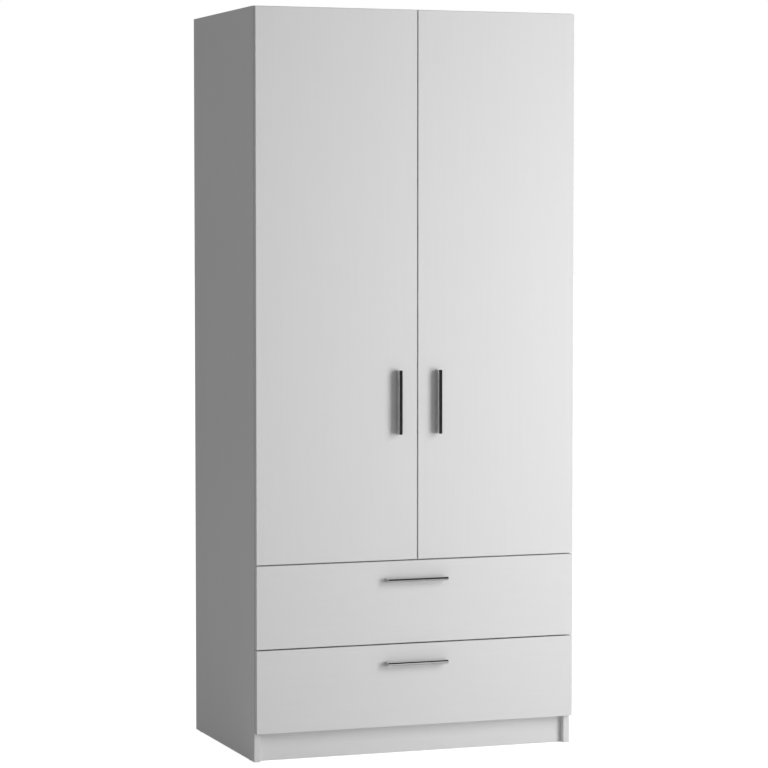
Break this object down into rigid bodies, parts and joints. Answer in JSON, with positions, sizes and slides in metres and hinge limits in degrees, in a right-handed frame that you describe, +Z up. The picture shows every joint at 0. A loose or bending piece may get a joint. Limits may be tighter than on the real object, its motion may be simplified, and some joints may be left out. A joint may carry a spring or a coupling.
{
  "type": "wardrobe",
  "caption": "Free-standing wardrobe: a pair of hinged doors over a hanging space with a rail and a hat shelf, above full-width drawers on roller runners.",
  "frame": {"origin": "on the floor, at the middle of the overall width and of the overall depth, handles included", "axes": "+X to the right seen from the front, +Y to the back, +Z up; the doors and drawers face -Y"},
  "size_m": [0.818, 0.541, 1.8],
  "materials": {
    "white_board": "matt white melamine-faced chipboard with glued edge band",
    "hardboard": "thin hardboard, white on the face that shows and raw brown on the other",
    "handle_chrome": "polished chrome",
    "rail_chrome": "bright chrome tube",
    "hinge_steel": "nickel-plated pressed steel",
    "runner_steel": "white epoxy-coated sheet steel",
    "roller_plastic": "white nylon",
    "grey_plastic": "moulded grey plastic"
  },
  "bodies": {
    "carcass": {"left_side_panel": "white_board", "right_side_panel": "white_board", "top_panel": "white_board", "fixed_shelf": "white_board", "bottom_panel": "white_board", "plinth_board": "white_board", "hat_shelf": "white_board", "back_panel": "hardboard", "hanging_rail": "rail_chrome", "rail_socket_left": "hinge_steel", "rail_socket_right": "hinge_steel", "wall_bracket": "hinge_steel", "floor_glide_front_left": "grey_plastic", "floor_glide_front_right": "grey_plastic", "floor_glide_rear_left": "grey_plastic", "floor_glide_rear_right": "grey_plastic", "hinge_arm_left_bottom": "hinge_steel", "hinge_arm_left_middle": "hinge_steel", "hinge_arm_left_top": "hinge_steel", "hinge_arm_right_bottom": "hinge_steel", "hinge_arm_right_middle": "hinge_steel", "hinge_arm_right_top": "hinge_steel", "lower_cabinet_runner_left": "runner_steel", "lower_cabinet_runner_right": "runner_steel", "upper_cabinet_runner_left": "runner_steel", "upper_cabinet_runner_right": "runner_steel"},
    "left_door": {"left_door_panel": "white_board", "hinge_cup_left_bottom": "hinge_steel", "hinge_cup_left_middle": "hinge_steel", "hinge_cup_left_top": "hinge_steel", "left_door_handle": "handle_chrome"},
    "right_door": {"right_door_panel": "white_board", "hinge_cup_right_bottom": "hinge_steel", "hinge_cup_right_middle": "hinge_steel", "hinge_cup_right_top": "hinge_steel", "right_door_handle": "handle_chrome"},
    "lower_drawer": {"lower_drawer_front": "white_board", "lower_drawer_side_left": "white_board", "lower_drawer_side_right": "white_board", "lower_drawer_back": "white_board", "lower_drawer_bottom": "hardboard", "lower_drawer_runner_left": "runner_steel", "lower_drawer_runner_right": "runner_steel", "lower_drawer_handle": "handle_chrome"},
    "upper_drawer": {"upper_drawer_front": "white_board", "upper_drawer_side_left": "white_board", "upper_drawer_side_right": "white_board", "upper_drawer_back": "white_board", "upper_drawer_bottom": "hardboard", "upper_drawer_runner_left": "runner_steel", "upper_drawer_runner_right": "runner_steel", "upper_drawer_handle": "handle_chrome"},
    "lower_front_roller_left": {"lower_front_roller_left": "roller_plastic"},
    "lower_front_roller_right": {"lower_front_roller_right": "roller_plastic"},
    "lower_rear_roller_left": {"lower_rear_roller_left": "roller_plastic"},
    "lower_rear_roller_right": {"lower_rear_roller_right": "roller_plastic"},
    "upper_front_roller_left": {"upper_front_roller_left": "roller_plastic"},
    "upper_front_roller_right": {"upper_front_roller_right": "roller_plastic"},
    "upper_rear_roller_left": {"upper_rear_roller_left": "roller_plastic"},
    "upper_rear_roller_right": {"upper_rear_roller_right": "roller_plastic"}
  },
  "joints": [
    {"name": "left_door_hinge", "type": "hinge", "parent": "carcass", "child": "left_door", "pos_m": [-0.4023, -0.2385, 1.137], "axis": [0, 0, -1], "range_deg": [0, 95]},
    {"name": "right_door_hinge", "type": "hinge", "parent": "carcass", "child": "right_door", "pos_m": [0.4023, -0.2385, 1.137], "axis": [0, 0, 1], "range_deg": [0, 95]},
    {"name": "upper_drawer_slide", "type": "slide", "parent": "carcass", "child": "upper_drawer", "axis": [0, -1, 0], "range_m": [0, 0.32]},
    {"name": "lower_drawer_slide", "type": "slide", "parent": "carcass", "child": "lower_drawer", "axis": [0, -1, 0], "range_m": [0, 0.32]},
    {"name": "upper_front_roller_left_spin", "type": "hinge", "parent": "carcass", "child": "upper_front_roller_left", "pos_m": [-0.38675, -0.2125, 0.31], "axis": [1, 0, 0], "range_deg": [0, 1750]},
    {"name": "upper_rear_roller_left_spin", "type": "hinge", "parent": "upper_drawer", "child": "upper_rear_roller_left", "pos_m": [-0.38675, 0.2067, 0.3093], "axis": [1, 0, 0], "range_deg": [0, 1750]},
    {"name": "upper_front_roller_right_spin", "type": "hinge", "parent": "carcass", "child": "upper_front_roller_right", "pos_m": [0.38675, -0.2125, 0.31], "axis": [1, 0, 0], "range_deg": [0, 1750]},
    {"name": "upper_rear_roller_right_spin", "type": "hinge", "parent": "upper_drawer", "child": "upper_rear_roller_right", "pos_m": [0.38675, 0.2067, 0.3093], "axis": [1, 0, 0], "range_deg": [0, 1750]},
    {"name": "lower_front_roller_left_spin", "type": "hinge", "parent": "carcass", "child": "lower_front_roller_left", "pos_m": [-0.38675, -0.2125, 0.1075], "axis": [1, 0, 0], "range_deg": [0, 1750]},
    {"name": "lower_rear_roller_left_spin", "type": "hinge", "parent": "lower_drawer", "child": "lower_rear_roller_left", "pos_m": [-0.38675, 0.2067, 0.1068], "axis": [1, 0, 0], "range_deg": [0, 1750]},
    {"name": "lower_front_roller_right_spin", "type": "hinge", "parent": "carcass", "child": "lower_front_roller_right", "pos_m": [0.38675, -0.2125, 0.1075], "axis": [1, 0, 0], "range_deg": [0, 1750]},
    {"name": "lower_rear_roller_right_spin", "type": "hinge", "parent": "lower_drawer", "child": "lower_rear_roller_right", "pos_m": [0.38675, 0.2067, 0.1068], "axis": [1, 0, 0], "range_deg": [0, 1750]}
  ],
  "couplings": [
    {"joint": "upper_front_roller_left_spin", "follows": "upper_drawer_slide", "rad_per_m": 95.238},
    {"joint": "upper_rear_roller_left_spin", "follows": "upper_drawer_slide", "rad_per_m": 95.238},
    {"joint": "upper_front_roller_right_spin", "follows": "upper_drawer_slide", "rad_per_m": 95.238},
    {"joint": "upper_rear_roller_right_spin", "follows": "upper_drawer_slide", "rad_per_m": 95.238},
    {"joint": "lower_front_roller_left_spin", "follows": "lower_drawer_slide", "rad_per_m": 95.238},
    {"joint": "lower_rear_roller_left_spin", "follows": "lower_drawer_slide", "rad_per_m": 95.238},
    {"joint": "lower_front_roller_right_spin", "follows": "lower_drawer_slide", "rad_per_m": 95.238},
    {"joint": "lower_rear_roller_right_spin", "follows": "lower_drawer_slide", "rad_per_m": 95.238}
  ]
}
